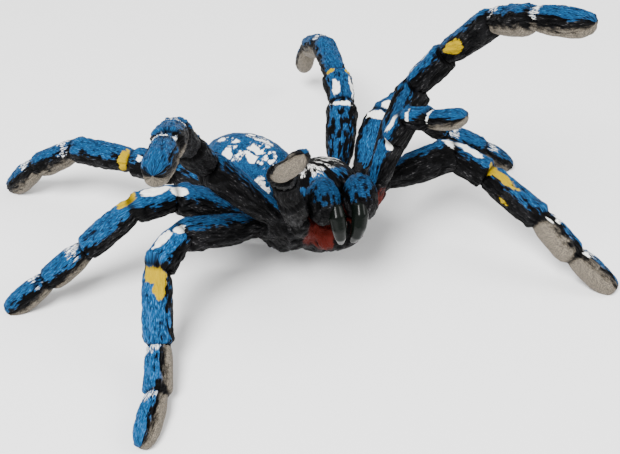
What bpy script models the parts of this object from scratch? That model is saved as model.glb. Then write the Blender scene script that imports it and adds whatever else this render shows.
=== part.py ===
"""Moulded toy tarantula in a threat pose: it stands on five feet, front legs and palps raised.

Metres, +Z up. The animal faces -Y, so its left side is +X. The feet stand on Z = 0.
"""

import bmesh
import bpy
from math import cos, pi, radians, sin
from mathutils import Matrix, Vector

MM = 0.001
GAP = 0.0003
WELD = 0.00005

# Front half of the body: its centre above the floor, and how it tips and leans
BODY_AT = Vector((2.8, -16.05, 20.75)) * MM
NOSE_UP = radians(20)
LEFT_SIDE_UP = radians(5)
BODY_TURN = Matrix.Rotation(-NOSE_UP, 4, "X") @ Matrix.Rotation(-LEFT_SIDE_UP, 4, "Y")
BODY_FRAME = Matrix.Translation(BODY_AT) @ BODY_TURN

# Rounded masses of the front half, each with a centre and half sizes (sideways, backwards, up), then
# its facets around and from pole to pole
SHELL = ((0, -0.4, 1.2), (10.2, 10.8, 6.6), (20, 12))
STERNUM = ((0, -0.8, -7.4), (9.6, 10.6, 7.2), (18, 10))
CHIN = ((0, -9.0, -8.0), (6.8, 5.0, 4.2), (16, 10))

# Left jaw base; the right one is its mirror image. The pair is turned to the animal's right, and its
# right side is raised
CHELICERA = ((4.3, -13.6, 1.2), (4.05, 5.4, 5.6), (18, 10))
FACE_AT = Vector((0, -13.6, 0)) * MM
FACE_TURN = radians(-12)
RIGHT_JAW_UP = radians(12)
FACE_FRAME = (
    BODY_FRAME
    @ Matrix.Translation(FACE_AT)
    @ Matrix.Rotation(FACE_TURN, 4, "Z")
    @ Matrix.Rotation(RIGHT_JAW_UP, 4, "Y")
    @ Matrix.Translation(-FACE_AT)
)

# Where each limb's first joint lies on its right or left: forwards, sideways, up
HIP_RING = {
    "palp": (10.3, 9.3, -2.0),
    "leg_1": (6.5, 12.0, -1.5),
    "leg_2": (2.5, 13.5, -2.5),
    "leg_3": (-4.0, 13.5, -3.0),
    "leg_4": (-9.5, 10.3, -3.0),
}

# A hip: places on the way from the body's centre to its joint, each with how far below that line it
# lies and its radius, and how far the hip reaches past the joint
HIPS = {
    "leg": ((0.36, 6.8, 5.2), (0.78, 4.2, 5.3), (1.0, 0.6, 3.7)),
    "palp": ((0.36, 5.0, 3.8), (0.75, 2.4, 4.1), (1.0, 0.0, 3.1)),
}
HIP_REACH = 4.0

# Segment lengths from the body outwards: femur, patella, tibia, metatarsus and tarsus, or no metatarsus
SEGMENTS = {
    "palp": (14.0, 6.5, 7.0, 9.5),
    "leg_1": (25.0, 11.0, 18.0, 12.5, 14.5),
    "leg_2": (22.0, 10.0, 17.0, 11.5, 13.0),
    "leg_3": (21.0, 10.0, 15.5, 11.5, 13.0),
    "leg_4": (23.5, 12.0, 18.0, 13.5, 14.5),
}

# Pose: for each segment its bearing, turned outwards from straight ahead, and its rise, in degrees
POSES = {
    "palp_right": ((45, 58), (60, 73), (34, 45), (-25, 50)),
    "palp_left": ((97, 69), (56, 65), (18, 22), (23, 25)),
    "leg_1_right": ((104, 48), (48, 52), (28, 41), (23, 24), (29, 12)),
    "leg_1_left": ((112, 55), (50, 54), (10, 46), (2, 26), (15, 16)),
    "leg_2_right": ((91, 11), (53, -9), (26, -58), (23, -16), (35, -5)),
    "leg_2_left": ((88, 6), (41, -23), (19, -17), (25, -31), (39, -34)),
    "leg_3_right": ((110, 23), (88, 2), (106, -40), (97, -33), (105, -36)),
    "leg_3_left": ((136, 17), (113, 0), (69, -41), (60, -25), (83, -39)),
    "leg_4_right": ((140, 11), (136, 4), (143, -6), (130, -30), (139, -44)),
    "leg_4_left": ((149, 21), (160, 9), (163, 0), (174, -28), (166, -55)),
}
STANDING = ("leg_2_right", "leg_3_right", "leg_4_right", "leg_2_left", "leg_3_left")

# Half width and half height of a segment at its middle, where a limb is stouter, and the part of that
# size that is left in the groove at a joint
GIRTHS = {
    "leg": ((4.3, 4.0), (4.0, 3.7), (3.6, 3.5), (3.3, 3.3), (3.0, 3.1)),
    "palp": ((3.1, 3.2), (3.1, 3.0), (3.1, 2.8), (3.2, 2.3)),
}
ROOT_GIRTHS = {"leg": (2.8, 3.0), "palp": (2.3, 2.5)}
STOUTNESS = {"leg_2_left": 1.07, "leg_4_right": 1.05}
GROOVE = 0.86
BLUNT_TIP = 0.2
SIDES = 12

# Along a segment, from joint to joint, and the part of its full girth that it has there
SWELL = ((0.22, 0.97), (0.5, 1.0), (0.8, 0.95))
FEMUR_SWELL = ((0.36, 0.84), (0.6, 1.0), (0.84, 0.95))
TOE = ((0.25, 0.98), (0.5, 1.0), (0.72, 0.93), (0.88, 0.76), (0.97, 0.48))

# Rear half of the body: centre from the front half's, its mass in its own frame, and its turn to the right
ABDOMEN_AT = Vector((-6.2, 24.5, -6.3)) * MM
ABDOMEN = ((0, 0, 0), (9.4, 13.3, 8.4), (24, 16))
ABDOMEN_TURN = radians(32)

# Waist: its place in the body's frame, the stalk's radius and its length each way, and the radius of the
# cut that trims the rear half flat
WAIST_AT = (0, 11.6, -2.2)
WAIST_RADIUS = 2.6
STALK_AHEAD = 5.0
STALK_BEHIND = 4.0
TRIM_RADIUS = 9.1

# Left spinneret, root and end: sideways, backwards past the rear half's end, up, and its radius there
SPINNERET = ((1.4, -1.5, -1.0, 0.9), (1.9, 1.1, -1.4, 0.45))
SPINNERET_SIDES = 8

# Fang: its route from the jaw base to the tip, in the face's frame on the left side, and its radii
FANG_ROUTE = (
    (2.7, -18.2, 1.2),
    (2.6, -19.3, -1.0),
    (2.2, -19.5, -3.4),
    (1.8, -18.7, -5.6),
    (1.4, -17.3, -7.4),
)
FANG_RADII = (1.5, 1.7, 1.55, 1.2, 0.6)
FANG_FRONT = Vector((0, -1, 0.2))
FANG_SIDES = 10

# Block below the floor that cuts the standing feet flat, and the angle from which an edge stays sharp
FLOOR_BLOCK = Vector((400, 400, 100)) * MM
SHARP = radians(40)

BLACK = (0.02, 0.02, 0.024)
BLUE = (0.01, 0.13, 0.4)


def clear_scene():
    for item in list(bpy.data.objects):
        bpy.data.objects.remove(item, do_unlink=True)


def collection(name, hidden=False):
    made = bpy.data.collections.new(name)
    made.hide_render = hidden
    bpy.context.scene.collection.children.link(made)
    return made


def plastic(name, colour, roughness):
    made = bpy.data.materials.new(name)
    made.use_nodes = True
    shader = made.node_tree.nodes["Principled BSDF"]
    shader.inputs["Base Color"].default_value = (*colour, 1.0)
    shader.inputs["Roughness"].default_value = roughness
    shader.inputs["Metallic"].default_value = 0.0
    return made


def add_object(name, bm, home):
    """Make an object of a bmesh and put it in a collection."""
    mesh = bpy.data.meshes.new(name)
    bm.to_mesh(mesh)
    bm.free()
    mesh.shade_smooth()
    made = bpy.data.objects.new(name, mesh)
    made.hide_render = home.hide_render
    made.display_type = "WIRE" if home.hide_render else "TEXTURED"
    home.objects.link(made)
    return made


def finish(item, material):
    item.data.materials.clear()
    item.data.materials.append(material)
    item.data.set_sharp_from_angle(angle=SHARP)


def clean(mesh):
    """Close the slivers that a Boolean leaves along its seams, and make every face a flat triangle."""
    bm = bmesh.new()
    bm.from_mesh(mesh)
    bmesh.ops.remove_doubles(bm, verts=bm.verts, dist=WELD)
    bmesh.ops.dissolve_degenerate(bm, edges=bm.edges, dist=WELD)
    bmesh.ops.triangulate(bm, faces=bm.faces)
    bm.to_mesh(mesh)
    bm.free()


def combine(item, others, operation):
    """Join or cut an object with others, one exact Boolean at a time, and keep the plain result."""
    clean(item.data)
    for other in others:
        clean(other.data)
        step = item.modifiers.new(operation.title(), "BOOLEAN")
        step.operation = operation
        step.solver = "EXACT"
        step.object = other
        graph = bpy.context.evaluated_depsgraph_get()
        result = bpy.data.meshes.new_from_object(item.evaluated_get(graph))
        clean(result)
        item.modifiers.clear()
        item.data = result
        bpy.data.objects.remove(other, do_unlink=True)


def oval(name, mass, home, frame, grow=0.0):
    """Make an ellipsoid in a frame, from its centre and half sizes in millimetres and its facets."""
    centre, half, (around, down) = mass
    bm = bmesh.new()
    bmesh.ops.create_uvsphere(bm, u_segments=around, v_segments=down, radius=1.0)
    size = Matrix.Diagonal((*[value * MM + grow for value in half], 1.0))
    bm.transform(frame @ Matrix.Translation(Vector(centre) * MM) @ size)
    return add_object(name, bm, home)


def ring_points(centre, along, up, half_width, half_height, sides=SIDES):
    """Points of an ellipse square to a direction, with its height towards up."""
    side = along.cross(up).normalized()
    top = side.cross(along).normalized()
    angles = [2 * pi * index / sides for index in range(sides)]
    return [centre + side * half_width * sin(angle) + top * half_height * cos(angle) for angle in angles]


def loft(name, sections, home):
    """Skin a row of rings of points, with a flat face at each end."""
    bm = bmesh.new()
    rows = [[bm.verts.new(point) for point in section] for section in sections]
    for near, far in zip(rows, rows[1:]):
        for index in range(len(near)):
            after = (index + 1) % len(near)
            bm.faces.new((near[index], near[after], far[after], far[index]))
    bm.faces.new(rows[0][::-1])
    bm.faces.new(rows[-1])
    bmesh.ops.recalc_face_normals(bm, faces=bm.faces)
    return add_object(name, bm, home)


def side_of(limb):
    return 1 if limb.endswith("left") else -1


def pair_of(limb):
    return limb.rsplit("_", 1)[0]


def kind_of(limb):
    return limb.split("_")[0]


def heading(limb, bearing, rise):
    """Direction of a segment from its bearing and rise in degrees."""
    turn = radians(bearing)
    lift = radians(rise)
    return Vector((side_of(limb) * sin(turn) * cos(lift), -cos(turn) * cos(lift), sin(lift)))


def hip(limb):
    forwards, sideways, up = HIP_RING[pair_of(limb)]
    return BODY_FRAME @ (Vector((side_of(limb) * sideways, -forwards, up)) * MM)


def joints(limb):
    """Joint centres of a limb from its hip to its tip, and its segments' directions."""
    points = [hip(limb)]
    directions = [heading(limb, *angles) for angles in POSES[limb]]
    for direction, length in zip(directions, SEGMENTS[pair_of(limb)]):
        points.append(points[-1] + direction * length * MM)
    return points, directions


def back_of(direction):
    """Upward side of a limb that runs in a direction, seen square to it."""
    outward = Vector((direction.x, direction.y, 0)).normalized()
    over = Vector((0, 0, 1)) - outward * direction.z
    return (over - direction * over.dot(direction)).normalized()


def limb_sections(limb):
    """Rings of a limb: swollen along each segment and narrower at each joint."""
    stout = STOUTNESS.get(limb, 1.0)
    girths = [(wide * stout, high * stout) for wide, high in GIRTHS[kind_of(limb)]]
    points, directions = joints(limb)
    lengths = [(far - near).length for near, far in zip(points, points[1:])]
    start = points[0] + directions[0] * (HIP_REACH * MM + GAP)
    root = [value * MM for value in ROOT_GIRTHS[kind_of(limb)]]
    sections = [ring_points(start, directions[0], back_of(directions[0]), *root)]
    last = len(girths) - 1
    swells = [FEMUR_SWELL] + [SWELL] * (last - 1) + [TOE]
    for number, (girth, direction, length) in enumerate(zip(girths, directions, lengths)):
        wide, high = (value * MM for value in girth)
        up = back_of(direction)
        for place, share in swells[number]:
            centre = points[number] + direction * length * place
            sections.append(ring_points(centre, direction, up, wide * share, high * share))
        if number < last:
            mitre = (direction + directions[number + 1]).normalized()
            crease = (up + back_of(directions[number + 1])).normalized()
            narrow = [GROOVE * MM * (near + far) / 2 for near, far in zip(girth, girths[number + 1])]
            sections.append(ring_points(points[number + 1], mitre, crease, *narrow))
    end = [value * BLUNT_TIP for value in (wide, high)]
    sections.append(ring_points(points[-1], directions[-1], back_of(directions[-1]), *end))
    return sections


def make_limb(limb, home, cutters, material):
    made = loft(limb, limb_sections(limb), home)
    if limb in STANDING:
        bm = bmesh.new()
        bmesh.ops.create_cube(bm, size=1.0)
        below = Matrix.Translation((0, 0, -FLOOR_BLOCK.z / 2))
        bm.transform(below @ Matrix.Diagonal((*FLOOR_BLOCK, 1.0)))
        combine(made, [add_object("floor_cut", bm, cutters)], "DIFFERENCE")
    finish(made, material)
    return made


def make_hip(limb, cutters):
    """Short stump that carries a limb: from inside the body past the hip, ending in a flat face."""
    points, directions = joints(limb)
    stations = HIPS[kind_of(limb)]
    route = [BODY_AT.lerp(points[0], place) - Vector((0, 0, drop)) * MM for place, drop, _ in stations]
    route.append(points[0] + directions[0] * HIP_REACH * MM)
    girths = [(radius, radius) for _, _, radius in stations] + [ROOT_GIRTHS[kind_of(limb)]]
    steps = [(far - near).normalized() for near, far in zip(route, route[1:])]
    steps[-1] = directions[0]
    sections = []
    for number, (point, (wide, high)) in enumerate(zip(route, girths)):
        along = (steps[max(number - 1, 0)] + steps[min(number, len(steps) - 1)]).normalized()
        sections.append(ring_points(point, along, back_of(along), wide * MM, high * MM))
    return loft(limb + "_hip", sections, cutters)


def waist():
    """Straight stalk along the line to the abdomen, its middle at the waist."""
    middle = BODY_FRAME @ (Vector(WAIST_AT) * MM)
    along = (BODY_AT + ABDOMEN_AT - middle).normalized()
    return middle, along


def stalk(near, far, radius, cutters):
    """Round bar along the waist, between two distances from its middle."""
    middle, along = waist()
    up = back_of(along)
    ends = [middle + along * distance for distance in (near, far)]
    return loft("stalk", [ring_points(point, along, up, radius, radius) for point in ends], cutters)


def make_body(home, cutters, material):
    """Shell, sternum, chin and hips in one piece, hollowed a little where the jaws sit."""
    made = oval("body", SHELL, home, BODY_FRAME)
    masses = [oval("sternum", STERNUM, cutters, BODY_FRAME), oval("chin", CHIN, cutters, BODY_FRAME)]
    masses.append(stalk(-STALK_AHEAD * MM, 0, WAIST_RADIUS * MM, cutters))
    masses += [make_hip(limb, cutters) for limb in POSES]
    combine(made, masses, "UNION")
    pockets = [oval("pocket", mirrored(CHELICERA, side), cutters, FACE_FRAME, grow=GAP) for side in (-1, 1)]
    combine(made, pockets, "DIFFERENCE")
    finish(made, material)
    return made


def mirrored(mass, side):
    """The same mass on the left (1) or the right (-1)."""
    (sideways, backwards, up), half, facets = mass
    return (side * sideways, backwards, up), half, facets


def make_spinneret(side, frame, cutters):
    """Short tapering organ at the rear end, on the left (1) or the right (-1)."""
    rear = ABDOMEN[1][1]
    ends = [frame @ (Vector((side * x, rear + y, z)) * MM) for x, y, z, _ in SPINNERET]
    along = (ends[1] - ends[0]).normalized()
    up = back_of(along)
    radii = [radius * MM for *_, radius in SPINNERET]
    sizes = zip(ends, radii)
    rings = [ring_points(end, along, up, size, size, SPINNERET_SIDES) for end, size in sizes]
    return loft("spinneret", rings, cutters)


def make_abdomen(home, cutters, material):
    """Egg-shaped rear half with a flat face at the waist and two short spinnerets behind."""
    frame = Matrix.Translation(BODY_AT + ABDOMEN_AT) @ Matrix.Rotation(ABDOMEN_TURN, 4, "Z")
    made = oval("abdomen", ABDOMEN, home, frame)
    added = [make_spinneret(side, frame, cutters) for side in (-1, 1)]
    added.append(stalk(GAP, STALK_BEHIND * MM, WAIST_RADIUS * MM, cutters))
    combine(made, added, "UNION")
    combine(made, [stalk(-TRIM_RADIUS * MM, GAP, TRIM_RADIUS * MM, cutters)], "DIFFERENCE")
    finish(made, material)
    return made


def make_chelicera(name, home, cutters, material):
    """Domed jaw base with its fang curving down and back from the front."""
    side = side_of(name)
    made = oval(name, mirrored(CHELICERA, side), home, FACE_FRAME)
    route = [FACE_FRAME @ (Vector((side * x, y, z)) * MM) for x, y, z in FANG_ROUTE]
    rings = []
    for index, (point, radius) in enumerate(zip(route, FANG_RADII)):
        before = route[max(index - 1, 0)]
        after = route[min(index + 1, len(route) - 1)]
        along = (after - before).normalized()
        rings.append(ring_points(point, along, FANG_FRONT, radius * MM, radius * MM, FANG_SIDES))
    combine(made, [loft("fang", rings, cutters)], "UNION")
    finish(made, material)
    return made


def main():
    clear_scene()
    home = collection("tarantula_figure")
    cutters = collection("tarantula_cutters", hidden=True)
    black = plastic("charcoal_plastic", BLACK, 0.55)
    blue = plastic("blue_plastic", BLUE, 0.5)
    make_body(home, cutters, black)
    make_abdomen(home, cutters, blue)
    for name in ("chelicera_right", "chelicera_left"):
        make_chelicera(name, home, cutters, black)
    for limb in POSES:
        make_limb(limb, home, cutters, blue)


main()
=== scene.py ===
"""Moulded toy tarantula, painted by hand: black with blue backs, white and yellow patches and grey soles."""

from math import cos, pi, radians, sin

import bmesh
import bpy
import numpy as np
from mathutils import Matrix, Vector


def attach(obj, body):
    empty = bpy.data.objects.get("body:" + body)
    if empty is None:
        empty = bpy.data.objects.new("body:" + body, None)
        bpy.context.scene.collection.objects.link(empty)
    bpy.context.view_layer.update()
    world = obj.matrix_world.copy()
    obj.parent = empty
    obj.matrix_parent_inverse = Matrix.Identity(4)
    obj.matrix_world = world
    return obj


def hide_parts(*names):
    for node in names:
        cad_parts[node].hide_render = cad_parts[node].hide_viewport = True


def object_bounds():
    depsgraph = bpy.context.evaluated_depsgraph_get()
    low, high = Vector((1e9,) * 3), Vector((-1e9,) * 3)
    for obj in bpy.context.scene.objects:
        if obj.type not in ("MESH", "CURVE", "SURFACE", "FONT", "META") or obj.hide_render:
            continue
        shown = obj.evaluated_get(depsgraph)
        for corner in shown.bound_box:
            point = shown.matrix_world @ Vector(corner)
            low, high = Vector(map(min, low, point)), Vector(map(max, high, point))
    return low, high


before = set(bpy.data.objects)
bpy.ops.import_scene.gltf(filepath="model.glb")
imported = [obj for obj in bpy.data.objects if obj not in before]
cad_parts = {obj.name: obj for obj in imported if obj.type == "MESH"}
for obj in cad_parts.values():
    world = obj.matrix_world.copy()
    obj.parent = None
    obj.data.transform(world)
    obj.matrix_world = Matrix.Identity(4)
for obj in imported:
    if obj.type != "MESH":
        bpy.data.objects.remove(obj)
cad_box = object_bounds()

MM = 0.001

# Pose of the figure, as its solids have it
BODY_AT = Vector((2.8, -16.05, 20.75)) * MM
NOSE_UP = radians(20)
LEFT_SIDE_UP = radians(5)
BODY_TURN = Matrix.Rotation(-NOSE_UP, 4, "X") @ Matrix.Rotation(-LEFT_SIDE_UP, 4, "Y")
BODY_FRAME = Matrix.Translation(BODY_AT) @ BODY_TURN
FACE_AT = Vector((0, -13.6, 0)) * MM
FACE_TURN = radians(-12)
RIGHT_JAW_UP = radians(12)
FACE_FRAME = (
    BODY_FRAME
    @ Matrix.Translation(FACE_AT)
    @ Matrix.Rotation(FACE_TURN, 4, "Z")
    @ Matrix.Rotation(RIGHT_JAW_UP, 4, "Y")
    @ Matrix.Translation(-FACE_AT)
)

# Where each limb's first joint lies on its right or left: forwards, sideways, up
HIP_RING = {
    "palp": (10.3, 9.3, -2.0),
    "leg_1": (6.5, 12.0, -1.5),
    "leg_2": (2.5, 13.5, -2.5),
    "leg_3": (-4.0, 13.5, -3.0),
    "leg_4": (-9.5, 10.3, -3.0),
}
HIP_REACH = 4.3

# Rear half of the body, and the white fields on its back: centre and half sizes in its own frame
ABDOMEN_AT = Vector((-6.2, 24.5, -6.3)) * MM
ABDOMEN_TURN = radians(32)
WHITE_FIELDS = (
    ((-4.8, 1.2, 6.6), (2.2, 3.4, 2.4)),
    ((-2.2, -5.0, 6.8), (3.6, 5.0, 2.6)),
    ((2.9, -1.6, 7.8), (1.5, 4.6, 2.0)),
    ((-1.6, 5.2, 7.4), (1.2, 4.2, 2.0)),
    ((-6.8, -8.2, 1.0), (1.8, 2.6, 3.2)),
)

# Segment lengths from the body outwards: femur, patella, tibia, metatarsus and tarsus, or no metatarsus
SEGMENTS = {
    "palp": (14.0, 6.5, 7.0, 9.5),
    "leg_1": (25.0, 11.0, 18.0, 12.5, 14.5),
    "leg_2": (22.0, 10.0, 17.0, 11.5, 13.0),
    "leg_3": (21.0, 10.0, 15.5, 11.5, 13.0),
    "leg_4": (23.5, 12.0, 18.0, 13.5, 14.5),
}

# For each segment its bearing, turned outwards from straight ahead, and its rise, in degrees
POSES = {
    "palp_right": ((45, 58), (60, 73), (34, 45), (-25, 50)),
    "palp_left": ((97, 69), (56, 65), (18, 22), (23, 25)),
    "leg_1_right": ((104, 48), (48, 52), (28, 41), (23, 24), (29, 12)),
    "leg_1_left": ((112, 55), (50, 54), (10, 46), (2, 26), (15, 16)),
    "leg_2_right": ((91, 11), (53, -9), (26, -58), (23, -16), (35, -5)),
    "leg_2_left": ((88, 6), (41, -23), (19, -17), (25, -31), (39, -34)),
    "leg_3_right": ((110, 23), (88, 2), (106, -40), (97, -33), (105, -36)),
    "leg_3_left": ((136, 17), (113, 0), (69, -41), (60, -25), (83, -39)),
    "leg_4_right": ((140, 11), (136, 4), (143, -6), (130, -30), (139, -44)),
    "leg_4_left": ((149, 21), (160, 9), (163, 0), (174, -28), (166, -55)),
}

# Half width and half height of a segment at its middle, and the share of it left in a joint's groove
GIRTHS = {
    "leg": ((4.3, 4.0), (4.0, 3.7), (3.6, 3.5), (3.3, 3.3), (3.0, 3.1)),
    "palp": ((3.1, 3.2), (3.1, 3.0), (3.1, 2.8), (3.2, 2.3)),
}
ROOT_GIRTHS = {"leg": (2.8, 3.0), "palp": (2.3, 2.5)}
STOUTNESS = {"leg_2_left": 1.07, "leg_4_right": 1.05}
GROOVE = 0.78

# Shares of the full girth along a segment: place, width, height above and height below the axis
FEMUR = ((0.36, 0.86, 0.86, 0.86), (0.6, 1.0, 1.0, 1.0), (0.84, 1.02, 1.0, 0.99), (0.94, 1.0, 0.98, 0.96))
MIDDLE = (
    (0.08, 0.9, 0.9, 0.88),
    (0.25, 0.98, 0.98, 0.96),
    (0.55, 1.0, 1.0, 1.0),
    (0.82, 1.02, 1.01, 1.0),
    (0.93, 1.0, 0.99, 0.95),
)
PADDED = (
    (0.08, 0.88, 0.88, 0.86),
    (0.25, 0.97, 0.95, 1.0),
    (0.55, 1.0, 0.97, 1.1),
    (0.82, 1.01, 0.97, 1.1),
    (0.93, 0.97, 0.95, 0.94),
)
TOE = (
    (0.08, 0.86, 0.88, 0.88),
    (0.25, 0.98, 0.95, 1.02),
    (0.5, 1.0, 0.95, 1.1),
    (0.72, 0.94, 0.88, 1.08),
    (0.88, 0.77, 0.7, 0.84),
    (0.97, 0.48, 0.42, 0.5),
    (1.0, 0.12, 0.12, 0.12),
)

# Mesh spacing of a limb along and around it, in millimetres and steps
STEP_ALONG = 0.27
STEPS_AROUND = 128

# Depth in millimetres of a limb's fine tufts, of its coarser locks and of its lumps
FUR_DEPTH = 0.3
LOCK_DEPTH = 0.22
LUMP_DEPTH = 0.22

# Voxel size in metres and rounds of smoothing of the pieces that aren't limbs
VOXELS = {"body": (0.0003, 12), "abdomen": (0.00028, 10), "chelicera": (0.00022, 6)}

# How far round from a limb's back its blue reaches, in degrees, and the limbs with a black line along it
BLUE_EDGE = 64
BLUE_EDGES = {
    "leg_1_left": 51,
    "leg_1_right": 54,
    "leg_2_left": 54,
    "leg_4_right": 56,
    "palp_right": 38,
    "palp_left": 56,
}
DARK_BACKS = ("leg_4_left",)

# Degrees over which the edges of the blue, the soles and the speckle fade, and the blue that a femur lacks
BLUE_FADE = 62
SOLE_FADE = 80
SPECKLE_FADE = 60
LESS_ON_FEMUR = 28

# How far from a joint, in millimetres, its groove keeps off the blue and the soles, and how far it is dark
BLUE_OFF = 0.8
SOLE_OFF = 1.0
DARK_WITHIN = 0.7

# Speckle at the starts of a leg's last two segments: its middle, reach, strength and degrees round the back
SPECKLE = (1.8, 3.2, 0.7, 70)

# How much lighter or darker the blue of a limb is than the usual one, partly its paint and partly painted
# light and shade, lighter where a limb faces the light: its femur, and its other segments
TONES_LIGHT_AND_SHADE = {
    "leg_1_left": (-0.3, -0.08),
    "leg_1_right": (-0.2, 0.0),
    "leg_2_right": (-0.25, 0.4),
    "leg_3_right": (-0.2, 0.12),
}

# How far round from a limb's back its soles begin, in degrees
SOLE_EDGE = 112
SOLE_EDGES = {"leg_2_left": 98, "leg_2_right": 98}

# How far the soles of a limb's last segments are rolled round it, and the blue of its other ones, in degrees
SOLE_ROLLS = {"leg_2_left": -64, "leg_2_right": 58, "palp_right": -60}
BLUE_ROLLS = {"leg_2_left": -24, "leg_2_right": 16}

# Patches of paint: colour, segment, place along it, degrees round from its back, half length, half width
PATCHES = {
    "palp_right": (("white", 1, 3.0, 10, 1.4, 0.6),),
    "palp_left": (
        ("white", 0, 13.6, 40, 0.9, 0.9),
        ("white", 1, 4.2, 24, 1.8, 0.6),
        ("white", 2, 2.6, 48, 0.32, 1.5),
        ("white", 3, 0.9, 40, 0.4, 1.6),
    ),
    "leg_1_right": (
        ("white", 1, 5.5, 15, 3.0, 0.8),
        ("yellow", 2, 11.0, -60, 0.8, 0.5),
        ("white", 4, 1.9, -3, 0.5, 2.2),
    ),
    "leg_1_left": (
        ("white", 1, 5.5, 4, 4.2, 0.5),
        ("yellow", 2, 6.6, 98, 3.0, 1.9),
    ),
    "leg_2_right": (
        ("white", 1, 0.8, -8, 1.2, 1.4),
        ("white", 1, 4.6, 20, 3.2, 1.6),
        ("yellow", 2, 1.5, 2, 1.4, 2.9),
        ("yellow", 2, 3.4, -22, 3.3, 1.7),
    ),
    "leg_2_left": (
        ("white", 0, 21.0, 3, 0.8, 1.6),
        ("white", 1, 3.5, -8, 3.4, 1.6),
        ("yellow", 2, 0.5, 12, 1.4, 2.0),
        ("yellow", 2, 4.4, 12, 4.0, 1.2),
        ("yellow", 2, 7.5, 88, 1.6, 0.5),
        ("white", 3, 1.5, 16, 0.9, 0.5),
        ("white", 3, 2.9, -6, 0.7, 0.4),
        ("white", 4, 1.3, 12, 0.9, 0.5),
    ),
    "leg_3_right": (
        ("white", 0, 20.7, -22, 1.5, 1.4),
        ("white", 1, 4.7, 0, 3.5, 1.6),
        ("yellow", 2, 0.4, 8, 1.3, 1.7),
    ),
    "leg_3_left": (
        ("white", 0, 18.4, 0, 1.5, 3.4),
        ("white", 1, 1.7, 12, 1.4, 1.6),
        ("yellow", 2, 1.5, 20, 1.6, 1.5),
    ),
    "leg_4_right": (
        ("white", 1, 9.2, -32, 0.8, 1.2),
        ("yellow", 2, 1.3, -58, 1.2, 3.2),
    ),
    "leg_4_left": (
        ("white", 0, 21.2, 0, 0.7, 2.8),
        ("white", 1, 3.2, -24, 2.8, 1.1),
        ("white", 1, 4.8, 54, 3.4, 0.9),
        ("yellow", 1, 10.4, -32, 0.9, 1.3),
        ("yellow", 1, 10.1, 47, 0.8, 0.9),
    ),
}

# Colours of the paints, as linear red, green and blue
BLACK = (0.0005, 0.0005, 0.0007)
CHARCOAL = (0.0055, 0.0055, 0.0062)
ASH = (0.075, 0.073, 0.075)
# Navy is both the dark flecks in the blue and painted shade in its grooves
NAVY_FLECKS_AND_SHADE = (0.0004, 0.0014, 0.004)
DEEP_BLUE = (0.0015, 0.012, 0.037)
BLUE = (0.006, 0.042, 0.116)
SKY = (0.02, 0.105, 0.25)
WHITE = (0.85, 0.85, 0.81)
YELLOW = (0.36, 0.24, 0.0001)
SOLE = (0.2, 0.17, 0.13)
SOLE_SHADE = (0.07, 0.062, 0.052)
RED = (0.062, 0.007, 0.0045)
FANG = (0.002, 0.0032, 0.0024)

# Red areas beside the mouth, right and left: centre and half sizes in the body's frame
CHEEKS = (((-5.4, -10.4, -4.8), (3.8, 5.0, 5.4)), ((7.0, -10.4, -4.8), (5.4, 5.6, 5.8)))

# Blue rim of the shell's front, and a jaw's blue crown and its base without the fang: centre, half sizes
FRONT_RIM = ((0, -7.6, 5.0), (8.5, 2.2, 3.2))
JAW_CROWN = ((3.6, -14.6, 5.5), (3.7, 5.1, 3.8))
JAW_BASE = ((4.3, -13.6, 1.2), (4.05, 5.4, 5.6))
JAW_TONE = -0.35

# Camera of the photograph
CAMERA_AIM = Vector((4.98, -9.02, 4.5)) * MM
CAMERA_AZIMUTH = radians(-27)
CAMERA_ELEVATION = radians(38)
CAMERA_DISTANCE = 250 * MM
CAMERA_LENS = 58.06
SENSOR_WIDTH = 36.0

# Lights: name, place and size in metres, and watts
LIGHTS = (("key", (-0.45, -0.35, 0.8), 0.45, 24.0), ("fill", (0.7, -0.4, 0.6), 0.6, 7.0))
WORLD_STRENGTH = 0.8
FLOOR_HALF = 4.0
FLOOR_COLOUR = (0.9, 0.9, 0.9)

# Odd factors that scatter the noise's cells
SCATTER = (73856093, 19349663, 83492791, 1274126177)


def side_of(limb):
    return 1 if limb.endswith("left") else -1


def pair_of(limb):
    return limb.rsplit("_", 1)[0]


def kind_of(limb):
    return limb.split("_")[0]


def heading(limb, bearing, rise):
    """Direction of a segment from its bearing and rise in degrees."""
    turn = radians(bearing)
    lift = radians(rise)
    return Vector((side_of(limb) * sin(turn) * cos(lift), -cos(turn) * cos(lift), sin(lift)))


def joints(limb):
    """Joint centres of a limb from its hip to its tip, and its segments' directions."""
    forwards, sideways, up = HIP_RING[pair_of(limb)]
    points = [BODY_FRAME @ (Vector((side_of(limb) * sideways, -forwards, up)) * MM)]
    directions = [heading(limb, *angles) for angles in POSES[limb]]
    for direction, length in zip(directions, SEGMENTS[pair_of(limb)]):
        points.append(points[-1] + direction * length * MM)
    return points, directions


def back_of(direction):
    """Upward side of a limb that runs in a direction, seen square to it."""
    outward = Vector((direction.x, direction.y, 0)).normalized()
    over = Vector((0, 0, 1)) - outward * direction.z
    return (over - direction * over.dot(direction)).normalized()


def cell_value(cells):
    """A repeatable value from -1 to 1 for each cell of whole numbers."""
    x, y, z = (cells[..., axis].astype(np.uint64) for axis in range(3))
    for_x, for_y, for_z, last = (np.uint64(factor) for factor in SCATTER)
    mixed = (x * for_x) ^ (y * for_y) ^ (z * for_z)
    mixed = (mixed ^ (mixed >> np.uint64(13))) * last
    mixed = (mixed ^ (mixed >> np.uint64(16))) & np.uint64(0xFFFF)
    return mixed.astype(float) / 32767.5 - 1.0


def noise(points):
    """Smooth noise from -1 to 1 at points, one bump to a unit."""
    cells = np.floor(points).astype(np.int64)
    inside = points - cells
    fade = inside ** 3 * (inside * (inside * 6 - 15) + 10)
    total = np.zeros(points.shape[:-1])
    for corner in np.ndindex(2, 2, 2):
        weight = np.prod(np.where(np.array(corner) == 1, fade, 1 - fade), axis=-1)
        total += weight * cell_value(cells + np.array(corner) + 4096)
    return total


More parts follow.
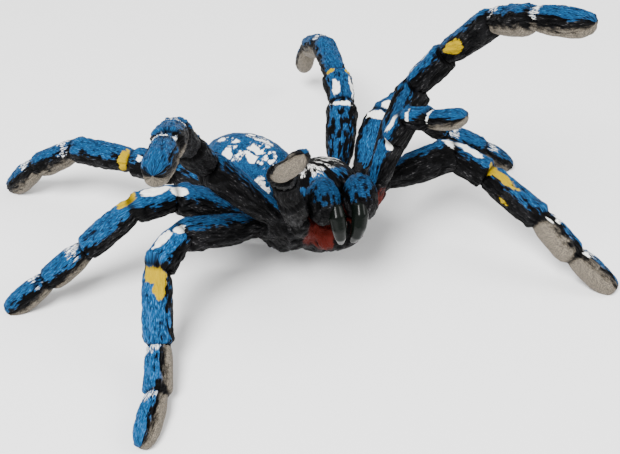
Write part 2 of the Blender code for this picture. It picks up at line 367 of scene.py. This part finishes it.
def layered(points, layers=3):
    """Noise with finer layers on top, each half as strong."""
    return sum(noise(points * 2 ** layer + 17.3 * layer) / 2 ** layer for layer in range(layers)) / 1.6


def strands(points):
    """Raised tufts of fur, 0 in the gaps between them and 1 along their tops."""
    return np.clip(0.55 + 1.5 * layered(points, 2), 0, 1)


def hermite(knots, values, places):
    """Smooth curve through values at knots, read at places."""
    slopes = np.gradient(values, knots, axis=0)
    index = np.clip(np.searchsorted(knots, places) - 1, 0, len(knots) - 2)
    span = knots[index + 1] - knots[index]
    part = ((places - knots[index]) / span)[:, None]
    start, end = values[index], values[index + 1]
    start_slope, end_slope = slopes[index] * span[:, None], slopes[index + 1] * span[:, None]
    return ((2 * part ** 3 - 3 * part ** 2 + 1) * start + (part ** 3 - 2 * part ** 2 + part) * start_slope
            + (3 * part ** 2 - 2 * part ** 3) * end + (part ** 3 - part ** 2) * end_slope)


def add_piece(name, points, faces, attributes, material, nodes):
    """Make a piece of a mesh in metres with its paint attributes, in place of CAD nodes."""
    mesh = bpy.data.meshes.new(name)
    mesh.from_pydata(points.tolist(), [], faces)
    for key, values in attributes.items():
        if values.ndim == 2:
            mesh.attributes.new(key, "FLOAT_VECTOR", "POINT").data.foreach_set("vector", values.ravel())
        else:
            mesh.attributes.new(key, "FLOAT", "POINT").data.foreach_set("value", values)
    mesh.shade_smooth()
    mesh.materials.append(material)
    piece = bpy.data.objects.new(name, mesh)
    bpy.context.scene.collection.objects.link(piece)
    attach(piece, "root")
    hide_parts(*nodes)


def tube_faces(rows, columns):
    """Quads of a tube of rows of points, closed by a point at each end that follows the rows."""
    faces = []
    for row in range(rows - 1):
        for column in range(columns):
            after = (column + 1) % columns
            near, far = row * columns, (row + 1) * columns
            faces.append((near + column, near + after, far + after, far + column))
    first, last = rows * columns, rows * columns + 1
    for column in range(columns):
        after = (column + 1) % columns
        faces.append((first, after, column))
        faces.append((last, (rows - 1) * columns + column, (rows - 1) * columns + after))
    return faces


def inside_box(points):
    """Points kept within the solids' own box."""
    low, high = (np.array(corner) for corner in cad_box)
    return np.clip(points, low, high)


def limb_stations(limb):
    """Rings that shape a limb, each with its distance in mm, centre, side, back and three half sizes."""
    stout = STOUTNESS.get(limb, 1.0)
    girths = [(wide * stout, high * stout) for wide, high in GIRTHS[kind_of(limb)]]
    lengths = SEGMENTS[pair_of(limb)]
    points, directions = joints(limb)
    last = len(girths) - 1
    swells = [FEMUR] + [MIDDLE] * (last - 1) + [TOE]
    if kind_of(limb) == "leg":
        swells[last - 1] = PADDED
    rows = []

    def add(distance, centre, direction, up, wide, above, below):
        side = direction.cross(up).normalized()
        rows.append([distance, *centre, *side, *side.cross(direction).normalized(), wide, above, below])

    root_wide, root_high = ROOT_GIRTHS[kind_of(limb)]
    for reach, share in ((HIP_REACH - 3.0, 0.85), (HIP_REACH, 1.04)):
        centre = points[0] + directions[0] * reach * MM
        wide, high = root_wide * share, root_high * share
        add(reach, centre, directions[0], back_of(directions[0]), wide, high, high)
    reached = 0.0
    for number, (wide, high) in enumerate(girths):
        direction = directions[number]
        up = back_of(direction)
        for place, across, above, below in swells[number]:
            distance = lengths[number] * place
            centre = points[number] + direction * distance * MM
            add(reached + distance, centre, direction, up, wide * across, high * above, high * below)
        reached += lengths[number]
        if number < last:
            mitre = (direction + directions[number + 1]).normalized()
            crease = (up + back_of(directions[number + 1])).normalized()
            narrow = [GROOVE * (near + far) / 2 for near, far in zip(girths[number], girths[number + 1])]
            add(reached, points[number + 1], mitre, crease, narrow[0], narrow[1], narrow[1])
    return np.array(rows)


def make_limb(limb, material):
    """Limb as a dense tube with tufted fur and padded soles, and with its paint in attributes."""
    stations = limb_stations(limb)
    knots = stations[:, 0]
    distance = np.linspace(knots[0], knots[-1], int((knots[-1] - knots[0]) / STEP_ALONG))
    ring = hermite(knots, stations[:, 1:], distance)
    centre, side, back = ring[:, None, 0:3], ring[:, None, 3:6], ring[:, None, 6:9]
    wide, above, below = (np.maximum(ring[:, None, column], 0.05) for column in (9, 10, 11))
    angle = np.linspace(-pi, pi, STEPS_AROUND, endpoint=False)[None, :]
    high = np.where(np.cos(angle) > 0, above, below)
    across = wide * np.sin(angle)
    over = high * np.cos(angle)
    outward = side * (np.sin(angle) * high)[..., None] + back * (np.cos(angle) * wide)[..., None]
    outward /= np.linalg.norm(outward, axis=2, keepdims=True)

    along = np.broadcast_to(distance[:, None], across.shape)
    radius = (wide + high) / 2
    grain = np.stack([along, 4.0 * np.cos(angle) + 0 * along, 4.0 * np.sin(angle) + 0 * along], axis=2)
    seed = 31.0 * list(POSES).index(limb)
    sway = layered(grain / 4.0 + seed)[..., None] * (0.0, 0.9, 0.9)
    fur = strands((grain + sway) / (2.3, 0.62, 0.62) + seed)
    locks = strands((grain + sway) / (4.6, 1.7, 1.7) + seed + 20)
    lumps = layered(grain / 4.5 + seed + 50)
    ends = np.cumsum(SEGMENTS[pair_of(limb)])
    joint_gap = np.min(np.abs(along[..., None] - ends[:-1]), axis=2)
    roll = radians(SOLE_ROLLS.get(limb, 0))
    pad = np.clip(-np.cos(angle - roll) * 2 - 0.6, 0, 1)
    pad = pad * (along > ends[-3 if kind_of(limb) == "leg" else -2])
    height = (fur - 1.0) * FUR_DEPTH + (locks - 1.0) * LOCK_DEPTH + (lumps - 0.6) * LUMP_DEPTH
    height *= np.clip(radius / 2.5, 0.1, 1) * (1 - 0.75 * pad)

    points = centre + (side * across[..., None] + back * over[..., None] + outward * height[..., None]) * MM
    points = inside_box(points.reshape(-1, 3))
    caps = inside_box(np.array([ring[0, 0:3], ring[-1, 0:3]]))
    flat_angle = np.degrees(np.broadcast_to(angle, across.shape))

    segment = np.searchsorted(ends[:-1], along)
    covers = limb_paint(limb, along, flat_angle, segment, ends, joint_gap, radius)
    covers["relief"] = np.clip(fur * 0.6 + locks * 0.4, 0, 1)
    attributes = {}
    for key, values in covers.items():
        flat = values.reshape(-1)
        attributes[key] = np.append(flat, (flat[0], flat[-1]))
    attributes["grain"] = np.vstack([grain.reshape(-1, 3) + seed, grain[0, 0] + seed, grain[-1, 0] + seed])
    faces = tube_faces(len(distance), STEPS_AROUND)
    points = np.vstack([points, caps])
    add_piece(limb + "_painted", points, faces, attributes, material, [limb])


def limb_paint(limb, along, angle, segment, ends, joint_gap, radius):
    """How far each place of a limb is covered by each paint, from 0 to 1, with 0.5 at a paint's edge."""
    starts = np.concatenate([[0.0], ends[:-1]])
    last = len(ends) - 1
    soled = segment >= (last - 1 if kind_of(limb) == "leg" else last)
    roll = np.where(soled, SOLE_ROLLS.get(limb, 0), BLUE_ROLLS.get(limb, 0))
    rolled = (angle - roll + 180) % 360 - 180
    edge = BLUE_EDGES.get(limb, BLUE_EDGE) - LESS_ON_FEMUR * (segment == 0)
    blue = 0.5 + (edge - np.abs(rolled)) / BLUE_FADE
    blue -= 0.5 * np.clip(1 - joint_gap / BLUE_OFF, 0, 1)
    if limb in DARK_BACKS:
        blue -= 0.7 * np.clip(1 - np.abs(angle) / 16, 0, 1)
    # Painted light and shade, partly paint: each limb's blue made lighter or darker, lighter where the limb
    # faces the light
    femur_tone_light_and_shade, other_tone_light_and_shade = TONES_LIGHT_AND_SHADE.get(limb, (0.0, 0.0))
    covers = {"blue": np.clip(blue, 0, 1), "tone_light_and_shade": np.where(segment == 0, femur_tone_light_and_shade, other_tone_light_and_shade)}
    sole = 0.5 + (np.abs(rolled) - SOLE_EDGES.get(limb, SOLE_EDGE)) / SOLE_FADE
    sole -= 0.5 * np.clip(1 - joint_gap / SOLE_OFF, 0, 1)
    covers["sole"] = np.where(soled, np.clip(sole, 0, 1), 0.0)
    for layer in ("white", "yellow"):
        covers[layer] = np.zeros(along.shape)
    for layer, number, place, around, half_length, half_width in PATCHES[limb]:
        off_around = (angle - around) * pi / 180 * radius / half_width
        off = np.hypot((along - starts[number] - place) / half_length, off_around)
        cover = np.clip(0.5 + (1 - off) * min(half_length, half_width) / 2, 0, 1)
        covers[layer] = np.maximum(covers[layer], cover)
    middle, reach, strength, around = SPECKLE
    speckle = np.zeros(along.shape)
    if kind_of(limb) == "leg":
        for start in ends[-3:-1]:
            speckle = np.maximum(speckle, np.clip(1 - np.abs(along - start - middle) / reach, 0, 1))
    covers["speckle"] = strength * speckle * np.clip(0.5 + (around - np.abs(rolled)) / SPECKLE_FADE, 0, 1)
    covers["dark"] = np.clip(1 - joint_gap / DARK_WITHIN, 0, 1)
    return covers


class Recipe:
    """Builds the nodes of a material: each call adds a node and gives its output."""

    def __init__(self, name):
        self.material = bpy.data.materials.new(name)
        self.material.use_nodes = True
        self.tree = self.material.node_tree
        self.shader = self.tree.nodes["Principled BSDF"]

    def node(self, kind, inputs, output=0, **options):
        made = self.tree.nodes.new("ShaderNode" + kind)
        for key, value in options.items():
            setattr(made, key, value)
        for key, value in inputs.items():
            self.set(made.inputs[key], value)
        return made.outputs[output]

    def set(self, socket, value):
        if isinstance(value, bpy.types.NodeSocket):
            self.tree.links.new(value, socket)
        elif isinstance(value, tuple) and len(value) == 3 and socket.type == "RGBA":
            socket.default_value = (*value, 1.0)
        else:
            socket.default_value = value

    def attribute(self, name, output="Fac"):
        return self.node("Attribute", {}, output, attribute_name=name)

    def maths(self, operation, *values):
        return self.node("Math", dict(enumerate(values)), operation=operation)

    def noise(self, vector, scale, detail=2.0, roughness=0.5):
        settings = {"Vector": vector, "Scale": scale, "Detail": detail, "Roughness": roughness}
        return self.node("TexNoise", settings)

    def stretched(self, vector, scale):
        return self.node("VectorMath", {0: vector, 1: scale}, operation="MULTIPLY")

    def step(self, value, low, high):
        """0 below low, 1 above high, and a smooth rise between."""
        inputs = {"Value": value, "From Min": low, "From Max": high}
        return self.node("MapRange", inputs, interpolation_type="SMOOTHSTEP")

    def mix(self, factor, first, second):
        return self.node("Mix", {0: factor, 6: first, 7: second}, 2, data_type="RGBA")


def painted(name):
    """Satin plastic with paint brushed over its ridges where the attributes say."""
    recipe = Recipe(name)
    grain = recipe.attribute("grain", "Vector")
    relief = recipe.attribute("relief")
    hairs = recipe.noise(recipe.stretched(grain, (0.55, 3.0, 3.0)), 1.0, 3.0, 0.6)
    dashes = recipe.noise(recipe.stretched(grain, (1.1, 5.5, 5.5)), 1.0, 1.0, 0.5)
    blots = recipe.noise(grain, 0.45, 4.0, 0.6)
    fine = recipe.noise(grain, 4.0, 3.0, 0.6)
    tops = recipe.maths("ADD", recipe.maths("MULTIPLY", relief, 0.45), recipe.maths("MULTIPLY", hairs, 0.7))

    def brushed(cover, ragged, dry, soft):
        """Where a paint holds: over its cover, with a ragged edge, on the ridges first."""
        edge = recipe.maths("MULTIPLY_ADD", recipe.maths("SUBTRACT", blots, 0.5), ragged, cover)
        edge = recipe.maths("MULTIPLY_ADD", recipe.maths("SUBTRACT", tops, 0.6), dry, edge)
        held = recipe.step(edge, 0.5 - soft, 0.5 + soft)
        return recipe.maths("MULTIPLY", held, recipe.step(cover, 0.05, 0.2))

    colour = recipe.mix(recipe.step(tops, 0.5, 0.8), BLACK, CHARCOAL)
    scratches = recipe.maths("MULTIPLY", recipe.step(dashes, 0.62, 0.72), recipe.step(tops, 0.55, 0.75))
    colour = recipe.mix(scratches, colour, ASH)
    blue = brushed(recipe.attribute("blue"), 1.0, 1.5, 0.1)
    tone_light_and_shade = recipe.mix(recipe.step(blots, 0.35, 0.65), DEEP_BLUE, BLUE)
    tone_light_and_shade = recipe.mix(recipe.step(tops, 0.5, 0.75), tone_light_and_shade, BLUE)
    tone_light_and_shade = recipe.mix(recipe.step(dashes, 0.5, 0.7), tone_light_and_shade, SKY)
    tone_light_and_shade = recipe.mix(recipe.step(dashes, 0.37, 0.29), tone_light_and_shade, NAVY_FLECKS_AND_SHADE)
    # Painted shade: the blue darkens to navy in the grooves between the tufts
    tone_light_and_shade = recipe.mix(recipe.step(tops, 0.43, 0.31), tone_light_and_shade, NAVY_FLECKS_AND_SHADE)
    # The blue scaled lighter or darker for each limb: partly its paint, partly painted light and shade where
    # a limb faces the light
    strength = recipe.maths("ADD", recipe.attribute("tone_light_and_shade"), 1.0)
    tone_light_and_shade = recipe.node("VectorMath", {0: tone_light_and_shade, "Scale": strength}, operation="SCALE")
    colour = recipe.mix(blue, colour, tone_light_and_shade)
    sole = brushed(recipe.attribute("sole"), 0.9, 0.6, 0.24)
    speckled = recipe.mix(recipe.step(fine, 0.6, 0.42), SOLE, SOLE_SHADE)
    colour = recipe.mix(sole, colour, speckled)
    speckle = brushed(recipe.attribute("speckle"), 0.9, 1.2, 0.07)
    speckle = recipe.maths("MULTIPLY", speckle, recipe.step(dashes, 0.46, 0.54))
    colour = recipe.mix(speckle, colour, WHITE)
    white = brushed(recipe.attribute("white"), 0.7, 0.5, 0.06)
    colour = recipe.mix(white, colour, WHITE)
    yellow = brushed(recipe.attribute("yellow"), 0.8, 0.5, 0.06)
    colour = recipe.mix(yellow, colour, YELLOW)
    red = brushed(recipe.attribute("red"), 0.6, 0.8, 0.15)
    colour = recipe.mix(red, colour, RED)
    fang = recipe.step(recipe.attribute("fang"), 0.4, 0.6)
    colour = recipe.mix(fang, colour, FANG)
    dark = recipe.maths("MULTIPLY", recipe.attribute("dark"), 0.9)
    colour = recipe.mix(dark, colour, BLACK)
    shader = recipe.shader
    recipe.set(shader.inputs["Base Color"], colour)
    recipe.set(shader.inputs["Specular IOR Level"], recipe.maths("MULTIPLY_ADD", fang, 0.06, 0.05))
    rough = recipe.maths("MULTIPLY_ADD", fine, 0.2, 0.42)
    recipe.set(shader.inputs["Roughness"], recipe.maths("MULTIPLY_ADD", fang, -0.3, rough))
    swell = recipe.maths("MULTIPLY_ADD", dashes, 0.7, hairs)
    smooth = recipe.maths("SUBTRACT", 1.0, fang)
    swell = recipe.maths("MULTIPLY", swell, smooth)
    bump = recipe.node("Bump", {"Strength": 0.8, "Distance": 0.00035, "Height": swell})
    recipe.set(shader.inputs["Normal"], bump)
    return recipe.material


def voxel_copy(node, size, smoothing):
    """Points and faces of a node's surface, remeshed evenly and smoothed."""
    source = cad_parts[node]
    copy = bpy.data.objects.new("remeshed", source.data.copy())
    bpy.context.scene.collection.objects.link(copy)
    copy.matrix_world = source.matrix_world
    remesh = copy.modifiers.new("Remesh", "REMESH")
    remesh.mode = "VOXEL"
    remesh.voxel_size = size
    smooth = copy.modifiers.new("Smooth", "SMOOTH")
    smooth.iterations = smoothing
    smooth.factor = 0.5
    graph = bpy.context.evaluated_depsgraph_get()
    mesh = bpy.data.meshes.new_from_object(copy.evaluated_get(graph))
    points = np.array([copy.matrix_world @ vertex.co for vertex in mesh.vertices])
    normals = np.array([vertex.normal for vertex in mesh.vertices])
    faces = [tuple(face.vertices) for face in mesh.polygons]
    bpy.data.objects.remove(copy, do_unlink=True)
    return points, normals, faces


def into(matrix, points):
    """Points in a frame's own coordinates, in millimetres."""
    turned = np.array(matrix.inverted())
    return (points @ turned[:3, :3].T + turned[:3, 3]) / MM


def within(points, centre, half, soft):
    """Cover of an oval region: 0.5 at its surface, rising inwards and falling outwards over soft."""
    off = np.linalg.norm((points - np.array(centre)) / np.array(half), axis=1)
    return np.clip(0.5 + (1 - off) / soft, 0, 1)


def make_body(material):
    """Front half: black and furred, with a stippled shell, a blue front rim and a rust red mouth."""
    points, normals, faces = voxel_copy("body", *VOXELS["body"])
    local = into(BODY_FRAME, points)
    outward = np.hypot(local[:, 0], local[:, 1] - 1.0)
    round_about = np.arctan2(local[:, 0], local[:, 1] - 1.0)
    spokes = np.stack([outward / 2.2, 7.0 * np.cos(round_about), 7.0 * np.sin(round_about)], axis=1)
    on_shell = np.clip((local[:, 2] - 2.0) / 2.5, 0, 1)
    fur = strands(local / (1.1, 1.1, 2.4) + 7.0)
    fur = fur * (1 - on_shell) + strands(spokes + 3.0) * on_shell
    lumps = layered(local / 3.5 + 90.0)
    height = (fur - 1.0) * 0.5 + (lumps - 0.5) * 0.3
    height *= 1 - 0.4 * on_shell
    points = inside_box(points + normals * height[:, None] * MM)
    rays = np.stack([outward, 7.0 * np.cos(round_about), 7.0 * np.sin(round_about)], axis=1)
    attributes = {"grain": np.where(on_shell[:, None] > 0, rays, local) + 300.0, "relief": fur}
    stipple = np.clip((outward - 1.0) / 2.0, 0, 1) * np.clip((9.4 - outward) / 2.0, 0, 1)
    attributes["speckle"] = 0.4 * stipple * on_shell
    attributes["blue"] = 0.42 * within(local, *FRONT_RIM, 0.7)
    attributes["red"] = np.maximum(*(within(local, centre, half, 1.0) for centre, half in CHEEKS))
    add_piece("body_painted", points, faces, attributes, material, ["body"])


def make_abdomen(material):
    """Rear half: smooth and blue, with broken white fields veined with blue on its back."""
    points, normals, faces = voxel_copy("abdomen", *VOXELS["abdomen"])
    frame_of = Matrix.Translation(BODY_AT + ABDOMEN_AT) @ Matrix.Rotation(ABDOMEN_TURN, 4, "Z")
    local = into(frame_of, points)
    dents = strands(local / 1.6 + 400.0)
    lumps = layered(local / 5.0 + 430.0)
    height = (dents - 1.0) * 0.16 + (lumps - 0.5) * 0.25
    points = inside_box(points + normals * height[:, None] * MM)
    veins = np.abs(layered(local / 2.1 + 460.0))
    holds = np.clip(0.32 + veins * 2.0, 0, 1)
    white = np.zeros(len(points))
    for centre, half in WHITE_FIELDS:
        white = np.maximum(white, within(local, centre, half, 0.8))
    attributes = {"grain": local + 400.0, "relief": 0.35 + 0.4 * dents}
    attributes["blue"] = np.clip(0.95 + (local[:, 2] - 1.0) / 9, 0, 1)
    attributes["speckle"] = 0.72 * np.minimum(white, holds)
    attributes["white"] = np.minimum(white, holds) - 0.15
    add_piece("abdomen_painted", points, faces, attributes, material, ["abdomen"])


def make_chelicera(node, material):
    """Jaw base: blue on its crown, black and hairy on its flanks, with a glossy black fang."""
    points, normals, faces = voxel_copy(node, *VOXELS["chelicera"])
    local = into(FACE_FRAME, points)
    side = side_of(node)
    mirrored = np.array((side, 1, 1))
    crown = 1.1 * within(local, mirrored * JAW_CROWN[0], JAW_CROWN[1], 1.0)
    base = (local - mirrored * JAW_BASE[0]) / np.array(JAW_BASE[1])
    fang = np.clip((np.linalg.norm(base, axis=1) - 1.06) / 0.06, 0, 1)
    fur = strands(local / (0.7, 1.4, 1.8) + 500.0 + 50.0 * side)
    height = (fur - 1.0) * 0.3 * (1 - fang) + 0.25 * fang
    points = inside_box(points + normals * height[:, None] * MM)
    attributes = {"grain": local + 500.0, "relief": fur, "blue": crown, "fang": fang}
    attributes["tone_light_and_shade"] = np.full(len(points), JAW_TONE)
    add_piece(node + "_painted", points, faces, attributes, material, [node])


def make_floor():
    mesh = bpy.data.meshes.new("floor")
    corners = [(x * FLOOR_HALF, y * FLOOR_HALF, 0) for x, y in ((-1, -1), (1, -1), (1, 1), (-1, 1))]
    mesh.from_pydata(corners, [], [(0, 1, 2, 3)])
    floor = bpy.data.objects.new("floor", mesh)
    bpy.context.scene.collection.objects.link(floor)
    recipe = Recipe("pale_floor")
    recipe.set(recipe.shader.inputs["Base Color"], FLOOR_COLOUR)
    recipe.set(recipe.shader.inputs["Roughness"], 0.9)
    mesh.materials.append(recipe.material)


def aimed(item, place, target):
    item.location = place
    item.rotation_mode = "QUATERNION"
    item.rotation_quaternion = (target - place).to_track_quat("-Z", "Y")


def make_camera():
    data = bpy.data.cameras.new("camera")
    data.lens = CAMERA_LENS
    data.sensor_width = SENSOR_WIDTH
    data.clip_start = 0.01
    camera = bpy.data.objects.new("camera", data)
    bpy.context.scene.collection.objects.link(camera)
    flat = cos(CAMERA_ELEVATION)
    back = Vector((sin(CAMERA_AZIMUTH) * flat, -cos(CAMERA_AZIMUTH) * flat, sin(CAMERA_ELEVATION)))
    aimed(camera, CAMERA_AIM + back * CAMERA_DISTANCE, CAMERA_AIM)
    bpy.context.scene.camera = camera


def make_light(name, place, size, power):
    data = bpy.data.lights.new(name, "AREA")
    data.shape = "DISK"
    data.size = size
    data.energy = power
    light = bpy.data.objects.new(name, data)
    bpy.context.scene.collection.objects.link(light)
    aimed(light, Vector(place), CAMERA_AIM)


def make_world(strength):
    world = bpy.data.worlds.new("studio")
    world.use_nodes = True
    background = world.node_tree.nodes["Background"]
    background.inputs["Color"].default_value = (1.0, 1.0, 1.0, 1.0)
    background.inputs["Strength"].default_value = strength
    bpy.context.scene.world = world


def main():
    paint = painted("hand_paint")
    for limb in POSES:
        make_limb(limb, paint)
    make_body(paint)
    make_abdomen(paint)
    for node in ("chelicera_right", "chelicera_left"):
        make_chelicera(node, paint)
    make_floor()
    make_camera()
    for light in LIGHTS:
        make_light(*light)
    make_world(WORLD_STRENGTH)


main()
